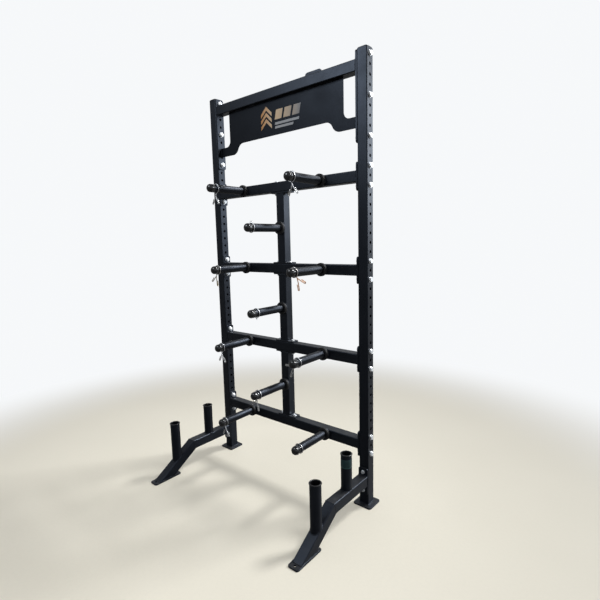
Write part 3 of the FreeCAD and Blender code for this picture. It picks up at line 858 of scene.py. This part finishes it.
def block(x, low, width, height, slant):
    """A block that leans to the right, with its lower left corner at (x, low)."""
    return [(x, low), (x + width, low), (x + width + slant, low + height),
            (x + slant, low + height)]


chevrons, blocks, bars = Shape(), Shape(), Shape()
for k in range(3):
    decal(chevrons, chevron(-0.115, MARK_Z - 0.044 + 0.036 * k))
    decal(blocks, block(-0.045 + 0.070 * k, MARK_Z + 0.002, 0.054, 0.056, 0.014))
for z, width in ((MARK_Z - 0.029, 0.191), (MARK_Z - 0.051, 0.146)):
    decal(bars, block(-0.045, z, width, 0.014, 0.004))
make("sign_mark_chevrons", chevrons, vinyl("film_orange", (0.80, 0.36, 0.09), (0.90, 0.66, 0.42),
                                           -0.16, -0.07))
make("sign_mark_blocks", blocks, vinyl("film_fade", (0.86, 0.62, 0.38), (0.20, 0.20, 0.21),
                                       -0.02, 0.16))
make("sign_mark_bars", bars, vinyl("film_silver", (0.50, 0.50, 0.51), (0.36, 0.37, 0.39),
                                   -0.045, 0.15))

# ---- Teal band round the right rear holder ----
BAND_LOW, BAND_TOP = 0.315, 0.363


def band_profile():
    """A thin sleeve whose lowest few millimetres lie a little deeper than the rest."""
    inside, skin = HOLDER_R - 0.0005, HOLDER_R + 0.0004
    proud = skin + 0.0002
    return [(inside, BAND_LOW), (skin, BAND_LOW), (skin, BAND_LOW + 0.004),
            (proud, BAND_LOW + 0.0045), (proud, BAND_TOP - 0.0004), (skin, BAND_TOP),
            (inside, BAND_TOP), (inside, BAND_LOW)]


def teal_film(name):
    """Mottled dark teal film, paler along its lower edge."""
    m = Nodes(name)
    mottle = m.noise(48.0, 4.0, 0.6)
    height = m.node("ShaderNodeSeparateXYZ", {0: m.where}).outputs[2]
    foot = m.remap(height, BAND_LOW + 0.001, BAND_LOW + 0.006, 1.0, 0.0)
    teal = m.mix(m.spread(mottle, 0.0, 1.0), (0.006, 0.030, 0.034), (0.010, 0.046, 0.050))
    return m.finish(Base_Color=m.mix(foot, teal, (0.030, 0.105, 0.105)),
                    Roughness=m.spread(mottle, 0.26, 0.4),
                    Normal=m.bump(m.noise(130.0, 3.0), 0.0002, 0.4))


band = Shape()
band.add(lathe(band_profile(), 64), Matrix.Translation((UP_X, mid("holder_right_rear").y, 0)))
make("holder_band", band, teal_film("teal_film"), sharp=60.0)

# ---- Floor and surroundings ----
WALL = (0.925, 0.940, 0.955)                  # the pale surroundings, as the camera sees them
FLOOR_REACH = 14.0
FLOOR_CELLS = 28
FLOOR_Z = -0.0004


def floor_material():
    """Pale floor with a painted pool of light, darker away from the object, that fades into the
    surroundings far off.
    """
    m = Nodes("floor_pale")
    cloud = m.noise(1.3, 4.0, 0.5)
    speck = m.noise(60.0, 3.0, 0.6)
    pale = m.mix(m.spread(cloud, 0.0, 1.0), (0.885, 0.840, 0.715), (0.915, 0.870, 0.745))
    pale = m.mix(m.remap(speck, 0.4, 0.7, 0.0, 0.06), pale, (0.62, 0.60, 0.54))
    away = m.node("ShaderNodeVectorMath", {0: m.where}, operation="LENGTH").outputs["Value"]
    # painted light falloff: the floor's colour darkens away from the object, as if the floor were
    # less lit there
    pale = m.mix(m.remap(away, 0.9, 2.6, 0.0, 1.0), pale, (0.64, 0.61, 0.53))
    seen = m.node("ShaderNodeLightPath").outputs["Is Camera Ray"]
    # to rays other than the camera's the floor is painted dark grey, which dims its bounce light and
    # darkens its reflections in the steel and the wires
    m.finish(Base_Color=m.mix(seen, (0.16, 0.155, 0.145), pale),
             Roughness=m.spread(cloud, 0.42, 0.55), Specular_IOR_Level=0.25)
    far = m.node("ShaderNodeMapRange", {"Value": away, "From Min": 1.9, "From Max": 3.4},
                 interpolation_type="SMOOTHSTEP").outputs["Result"]
    glow = m.node("ShaderNodeEmission", {"Color": WALL})
    # part of the floor's light is its own, which softens the shadows on it
    lift = m.node("ShaderNodeEmission", {"Color": m.mix(0.10, pale, (0.0, 0.0, 0.0))})
    ground = m.node("ShaderNodeMixShader", {0: m.math("MULTIPLY", seen, 0.36),
                                            1: m.bsdf.outputs[0], 2: lift.outputs[0]})
    fade = m.node("ShaderNodeMixShader", {0: m.math("MULTIPLY", far, seen),
                                          1: ground.outputs[0], 2: glow.outputs[0]})
    m.put(m.out.inputs["Surface"], fade.outputs[0])
    return m.mat


def floor_mesh():
    """A square of equal cells."""
    steps = [FLOOR_REACH * (2 * i / FLOOR_CELLS - 1) for i in range(FLOOR_CELLS + 1)]
    row = len(steps)
    faces = []
    for i in range(FLOOR_CELLS):
        for j in range(FLOOR_CELLS):
            a = i * row + j
            faces.append([a, a + 1, a + row + 1, a + row])
    mesh = bpy.data.meshes.new("floor")
    mesh.from_pydata([(x, y, FLOOR_Z) for x in steps for y in steps], [], faces)
    mesh.materials.append(floor_material())
    return mesh


floor = bpy.data.objects.new("floor", floor_mesh())
bpy.context.scene.collection.objects.link(floor)


def studio_world():
    """Soft light from all round, stronger from +X, +Y and above; the camera sees WALL."""
    world = bpy.data.worlds.new("studio")
    world.use_nodes = True
    tree = world.node_tree
    tree.nodes.clear()

    def add(kind, **props):
        n = tree.nodes.new(kind)
        for k, v in props.items():
            setattr(n, k, v)
        return n

    direction = add("ShaderNodeSeparateXYZ")
    tree.links.new(add("ShaderNodeTexCoord").outputs["Generated"], direction.inputs[0])
    total = None
    for axis, (base, gain) in enumerate(((0.24, 0.40), (0.0, 0.30), (0.0, 0.14))):
        part = add("ShaderNodeMath", operation="MAXIMUM")
        tree.links.new(direction.outputs[axis], part.inputs[0])
        part.inputs[1].default_value = 0.0
        scaled = add("ShaderNodeMath", operation="MULTIPLY_ADD")
        tree.links.new(part.outputs[0], scaled.inputs[0])
        scaled.inputs[1].default_value = gain
        if total is None:
            scaled.inputs[2].default_value = base
        else:
            tree.links.new(total, scaled.inputs[2])
        total = scaled.outputs[0]
    soft = add("ShaderNodeBackground")
    soft.inputs[0].default_value = (0.93, 0.96, 1.0, 1.0)
    tree.links.new(total, soft.inputs[1])
    plain = add("ShaderNodeBackground")
    plain.inputs[0].default_value = (*WALL, 1.0)
    both = add("ShaderNodeMixShader")
    tree.links.new(add("ShaderNodeLightPath").outputs["Is Camera Ray"], both.inputs[0])
    tree.links.new(soft.outputs[0], both.inputs[1])
    tree.links.new(plain.outputs[0], both.inputs[2])
    tree.links.new(both.outputs[0], add("ShaderNodeOutputWorld").inputs[0])
    return world


bpy.context.scene.world = studio_world()


# ---- Lamps and camera ----
def lamp(kind, name, at, target, power):
    """A lamp at one point that faces another and stays out of the camera's view."""
    data = bpy.data.lights.new(name, kind)
    data.energy = power
    ob = bpy.data.objects.new(name, data)
    ob.location = at
    ob.rotation_mode = "QUATERNION"
    ob.rotation_quaternion = (Vector(target) - Vector(at)).to_track_quat("-Z", "Y")
    ob.visible_camera = False
    bpy.context.scene.collection.objects.link(ob)
    return ob


key = lamp("SUN", "key", (1.4, 2.6, 3.7), (0.0, 0.0, 0.0), 2.15)
key.data.angle = math.radians(12.0)
# panels that only show as sheen on the coated steel
for name, at, target, size, power in (("right", (3.1, 4.1, 2.9), (0.3, 0.3, 1.8), 2.4, 100.0),
                                      ("left", (-1.3, -2.9, 3.9), (0.6, 0.3, 2.2), 1.8, 60.0)):
    panel = lamp("AREA", name, at, target, power)
    panel.data.size = size
    panel.data.color = (0.88, 0.94, 1.0)
    panel.visible_diffuse = False
glint = lamp("SUN", "glint", (1.3, 1.0, 1.5), (0.0, 0.0, 0.0), 3.0)
glint.data.angle = math.radians(5.0)
glint.visible_diffuse = False

CAMERA_AT = (1.8134, -1.7208, 1.5218)
LENS = 25.779
AZ, EL, ROLL = math.radians(39.902), math.radians(7.698), math.radians(-1.417)
ahead = Vector((-math.sin(AZ) * math.cos(EL), math.cos(AZ) * math.cos(EL), -math.sin(EL)))
right = Vector((math.cos(AZ), math.sin(AZ), 0))
above = right.cross(ahead)
right, above = (right * math.cos(ROLL) + above * math.sin(ROLL),
                above * math.cos(ROLL) - right * math.sin(ROLL))
cam = bpy.data.objects.new("camera", bpy.data.cameras.new("camera"))
cam.data.sensor_width = 36.0
cam.data.lens = LENS
cam.data.clip_end = 60.0
facing = Matrix((right, above, -ahead)).transposed().to_4x4()
cam.matrix_world = Matrix.Translation(CAMERA_AT) @ facing
bpy.context.scene.collection.objects.link(cam)
bpy.context.scene.camera = cam
bpy.context.scene.view_settings.view_transform = "Standard"

bpy.context.view_layer.update()
